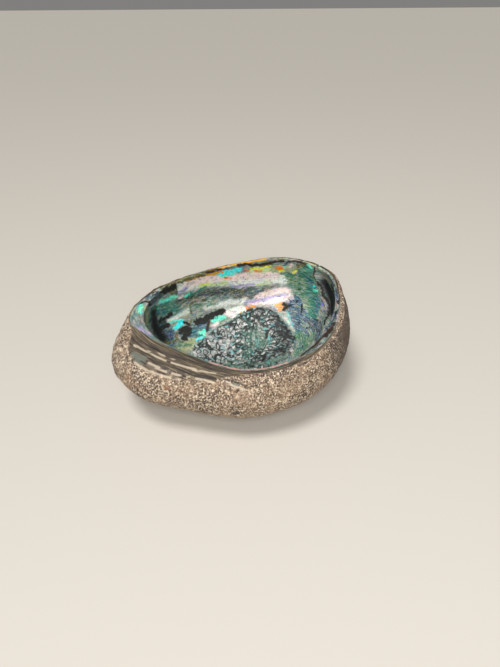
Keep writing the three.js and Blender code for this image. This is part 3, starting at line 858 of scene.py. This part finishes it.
# Nacre: silver, drifting to green, blue and pink, then the painted colours over it.
NACRE_RICHNESS = 1.25
NACRE_LIGHTNESS = 1.06
NACRE_CONTRAST = 1.32
drift = grain(14, 1, at=stretched(1, 1, 2.5))
drift_across = grain(9, 1, at=stretched(1, 1, 3.2))
mottle = grain(2.6, 3, 0.6)
torn = grain(1.9, 4, 0.75).ramp(0.34, 0.66)
speckle = grain(0.9, 2, 0.6)
streaks = grain(4, 4, 0.65, at=stretched(1, 1, 7))
threads = grain(1.6, 2, 0.6, at=stretched(1, 1, 5))
nacre = drift.ramp(0.35, 0.65).between(colour(146, 152, 142), colour(120, 134, 126))
nacre = drift_across.ramp(0.52, 0.7).between(nacre, colour(166, 150, 150))
nacre = drift_across.ramp(0.46, 0.3).between(nacre, colour(112, 136, 142))
# Each colour, how soft its edges are and how ragged.
PIGMENTS = {
    # painted dark reflection band on the far wall
    "painted_dark_reflection": ((34, 38, 37), 0.42, 0.8),
    # silver and rose: the nacre's pale colours, with painted reflections
    "silver_and_reflection": ((242, 242, 236), 0.42, 0.8),
    "rose_and_reflection": ((255, 234, 232), 0.38, 0.8),
    "lilac": ((190, 178, 212), 0.38, 0.8),
    "lime": ((218, 232, 180), 0.38, 0.8),
    "sand": ((178, 178, 144), 0.38, 0.8),
    "sage": ((76, 118, 90), 0.38, 0.8),
    "jade": ((40, 122, 106), 0.38, 0.8),
    "teal": ((10, 104, 118), 0.36, 0.8),
    # mint flecks and painted highlights
    "mint": ((150, 250, 228), 0.34, 1),
    # cyan flecks, lightened as a painted highlight
    "cyan": ((104, 240, 242), 0.32, 1.1),
    "blue": ((12, 70, 100), 0.34, 0.9),
    "slate": ((34, 54, 78), 0.3, 0.9),
    # painted shade in the slit and the hollow
    "painted_recess_shade": ((2, 18, 24), 0.4, 0.3),
    "pink": ((252, 206, 198), 0.28, 0.4),
    "dark": ((76, 74, 70), 0.34, 0.9),
    "yellow": ((250, 250, 112), 0.3, 1.1),
    "gold": ((222, 170, 40), 0.28, 1.1),
    "orange": ((250, 158, 76), 0.26, 1.1),
    "olive": ((98, 88, 22), 0.26, 1.3),
    "umber": ((62, 46, 28), 0.3, 1.4),
    # real stains, and painted shade in the slit behind the step
    "stain_and_slit_shade": ((30, 27, 24), 0.34, 1.5),
    "glint": ((128, 150, 236), 0.26, 1.1),
}
nacre = (streaks.ramp(0.5, 0.7) * 0.35).between(nacre, colour(60, 68, 66))
nacre = (streaks.ramp(0.5, 0.32) * 0.35).between(nacre, colour(230, 230, 222))
for name, (paint, softness, ragged) in PIGMENTS.items():
    edge = field(name) + (torn - 0.5) * (ragged * 0.55) + (streaks - 0.5) * 0.4
    nacre = edge.ramp(0.5 - softness, 0.5 + softness).between(nacre, colour(*paint))
nacre = (field("stain_and_slit_shade") * torn.ramp(0.6, 0.9) * 0.5).between(nacre, colour(84, 88, 74))
darkness = (field("stain_and_slit_shade") + (torn - 0.5) * 0.5).ramp(0.3, 0.6) | field("painted_recess_shade") | field("umber")
lit = 1 - darkness

# Shimmer: thin streaks of other hues, and light and dark threads.
for size, amount, tint in (
    (3.1, 0.3, (150, 236, 214)),
    (3.9, 0.3, (248, 222, 228)),
    (4.7, 0.28, (222, 216, 150)),
    (5.3, 0.34, (20, 96, 110)),
    (6.1, 0.24, (110, 112, 176)),
):
    sheen = grain(size, 3, 0.65, at=stretched(1, 1, 3.4))
    nacre = (sheen.ramp(0.52, 0.66) * lit * amount).between(nacre, colour(*tint))
light_streaks = streaks.ramp(0.5, 0.34) | threads.ramp(0.46, 0.34)
nacre = (light_streaks * lit * 0.28).between(nacre, colour(248, 248, 240))
nacre = (threads.ramp(0.55, 0.7) * 0.3).between(nacre, colour(30, 40, 40))
richer = {"Saturation": NACRE_RICHNESS, "Value": NACRE_LIGHTNESS, "Color": nacre}
nacre = start.node("ShaderNodeHueSaturation", {}, richer)

# The muscle's scar: black lines like worm tracks between cells of silver and teal.
cells = grain(9, 3)
cell_colour = cells.ramp(0.42, 0.58).between(colour(112, 142, 134), colour(168, 170, 164))
cell_colour = grain(2.2, 2).ramp(0.54, 0.62).between(cell_colour, colour(226, 222, 220))
cell_colour = (grain(5, 2).ramp(0.56, 0.66) * 0.8).between(cell_colour, colour(120, 206, 210))
cell_colour = (mottle.ramp(0.48, 0.6) * 0.75).between(cell_colour, colour(66, 74, 74))
tracks = (abs(field("worm")) + (speckle - 0.5) * 0.3 + (cells - 0.5) * 0.3).ramp(0.2, 0.09)
cell_colour = (field("scar_pale") * 0.5).between(cell_colour, colour(206, 204, 202))
cell_colour = (field("scar_dark") * 0.55).between(cell_colour, colour(58, 72, 74))
cell_colour = (field("scar_sage") * 0.6).between(cell_colour, colour(110, 150, 130))
tracks = (tracks * (1 - field("scar_sage") * 0.7)) | field("track").ramp(0.3, 0.6)
scar_colour = (tracks * 0.9).between(cell_colour, colour(30, 32, 30))
in_scar = (field("scar") + (mottle - 0.5) * 0.5).ramp(0.2, 0.5)
nacre = in_scar.between(nacre, scar_colour)
nacre = start.node("ShaderNodeGamma", {}, {"Color": nacre, "Gamma": NACRE_CONTRAST})

# Crust: tan, blotched with grey and cream, and speckled, with painted shade darkening it round the
# growing end.
blotch = grain(16, 3, 0.6)
coarse = grain(3.6, 3, 0.65)
fine = grain(1.0, 3, 0.7)
freckle = grain(2.1, 2, 0.6)
crust_colour = blotch.ramp(0.4, 0.62).between(colour(140, 116, 93), colour(110, 93, 78))
crust_colour = (coarse.ramp(0.5, 0.62) * 0.6).between(crust_colour, colour(112, 92, 76))
crust_colour = (coarse.ramp(0.46, 0.36) * 0.7).between(crust_colour, colour(206, 186, 158))
strength = 0.45 + blotch.ramp(0.3, 0.62) * 0.55
crust_colour = (fine.ramp(0.53, 0.59) * strength).between(crust_colour, colour(50, 37, 29))
crust_colour = (fine.ramp(0.46, 0.4) * strength).between(crust_colour, colour(224, 206, 180))
crust_colour = (freckle.ramp(0.59, 0.66) * 0.85).between(crust_colour, colour(46, 38, 32))
crust_colour = (field("worn") * 0.45).between(crust_colour, colour(206, 186, 166))
# Painted shade round the growing end.
crust_colour = (field("growing_end_shade") * 0.7).between(crust_colour, colour(52, 44, 40))

# The edges of the layers, on the lip and the shoulder: brown on the far side, grey on the near.
HORN_CONTRAST = 1.25
rim = grain(10, 3, 0.65, at=stretched(1, 1, 16))
rim_lines = grain(26, 4, 0.75, at=stretched(1, 1, 56))
horn = rim.ramp(0.38, 0.6).between(colour(116, 104, 88), colour(84, 76, 66))
horn = (rim_lines.ramp(0.52, 0.6) * 0.9).between(horn, colour(40, 35, 30))
horn = (rim_lines.ramp(0.46, 0.4) * 0.75).between(horn, colour(176, 160, 134))
far_horn = rim.ramp(0.45, 0.6).between(colour(34, 26, 16), colour(112, 86, 34))
horn = start.node("ShaderNodeGamma", {}, {"Color": horn, "Gamma": HORN_CONTRAST})
horn = (field("far_lip") * 0.96).between(horn, far_horn)
surface = (field("past_crust") + (coarse - 0.5) * 0.3).ramp(-0.06, 0.1).between(crust_colour, horn)
shine = (field("past_horn") + (coarse - 0.5) * 0.15).ramp(-0.05, 0.06)
for name, paint in {
    "rust": (126, 84, 54),
    "moss": (104, 112, 102),
    "cream": (196, 180, 158),
    "soot": (46, 40, 38),
}.items():
    edge = field(name) + (fine - 0.5) * 0.3 + (rim_lines - 0.5) * 1.3
    surface = (edge.ramp(0.35, 0.75) * 0.7).between(surface, colour(*paint))
surface = shine.between(surface, nacre)

dull = 1 - shine
crust_height = (coarse * 0.5 + fine * 0.7) * dull
height = crust_height + (streaks * 0.16 + mottle * 0.1) * shine * (1 - in_scar)
height = height + (1 - tracks) * in_scar * 0.3
still = darkness | field("blue") * 0.8 | field("sage") * 0.6 | field("cyan") | field("slate") * 0.7
gleam = shine * (1 - in_scar * 0.5) * (1 - still * 0.85)
bump = start.node("ShaderNodeBump", {}, {"Strength": 0.8, "Distance": 0.5 * MM, "Height": height})
shader = start.node("ShaderNodeBsdfPrincipled", {}, {
    "Base Color": surface,
    "Metallic": gleam * 0.2,
    "Roughness": 0.85 - gleam * 0.47,
    "Coat Weight": gleam * 0.12,
    "Coat Roughness": 0.2,
    "Normal": bump,
})
start.node("ShaderNodeOutputMaterial", {}, {"Surface": shader})
shell.data.materials.clear()
shell.data.materials.append(material)

# THE FLOOR, THE LIGHT AND THE CAMERA
# A plain pale floor, a broad soft light from overhead, a soft lamp in front and a weak fill.
floor_mesh = bpy.data.meshes.new("floor")
FLOOR_REACH = 12
floor_height = lowest[2]
floor_mesh.from_pydata([
    (-FLOOR_REACH, -FLOOR_REACH, floor_height),
    (FLOOR_REACH, -FLOOR_REACH, floor_height),
    (FLOOR_REACH, FLOOR_REACH, floor_height),
    (-FLOOR_REACH, FLOOR_REACH, floor_height),
], [], [(0, 1, 2, 3)])
floor = bpy.data.objects.new("floor", floor_mesh)
bpy.context.scene.collection.objects.link(floor)
floor_material = bpy.data.materials.new("floor")
floor_material.use_nodes = True
floor_shader = floor_material.node_tree.nodes["Principled BSDF"]
floor_shader.inputs["Base Color"].default_value = colour(196, 190, 180)
floor_shader.inputs["Roughness"].default_value = 0.9
floor_mesh.materials.append(floor_material)

world = bpy.data.worlds.new("studio")
world.use_nodes = True
world.node_tree.nodes["Background"].inputs["Color"].default_value = colour(236, 234, 230)
world.node_tree.nodes["Background"].inputs["Strength"].default_value = 0.26
bpy.context.scene.world = world


def lamp(name, place, target, size, power):
    light = bpy.data.lights.new(name, "AREA")
    light.shape = "DISK"
    light.size = size
    light.energy = power
    made = bpy.data.objects.new(name, light)
    made.location = place
    made.rotation_euler = (Vector(target) - Vector(place)).to_track_quat("-Z", "Y").to_euler()
    bpy.context.scene.collection.objects.link(made)
    return made


lamp("front", (-0.25, -0.9, 0.75), (0, 0.02, 0.03), 0.6, 11)
sun = bpy.data.lights.new("key", "SUN")
sun.energy = 2.15
sun.angle = math.radians(22)
key = bpy.data.objects.new("key", sun)
key.rotation_euler = Vector((0.3, 0.1, -1)).to_track_quat("-Z", "Y").to_euler()
bpy.context.scene.collection.objects.link(key)

camera = bpy.data.cameras.new("camera")
camera.sensor_width = 36
camera.lens = 27.04
viewpoint = bpy.data.objects.new("camera", camera)
viewpoint.location = (-0.0773, -0.2825, 0.2393)
sight = Vector((0.2424, 0.7928, -0.5592))
viewpoint.rotation_euler = sight.to_track_quat("-Z", "Y").to_euler()
bpy.context.scene.collection.objects.link(viewpoint)
bpy.context.scene.camera = viewpoint
bpy.context.scene.view_settings.view_transform = "Standard"
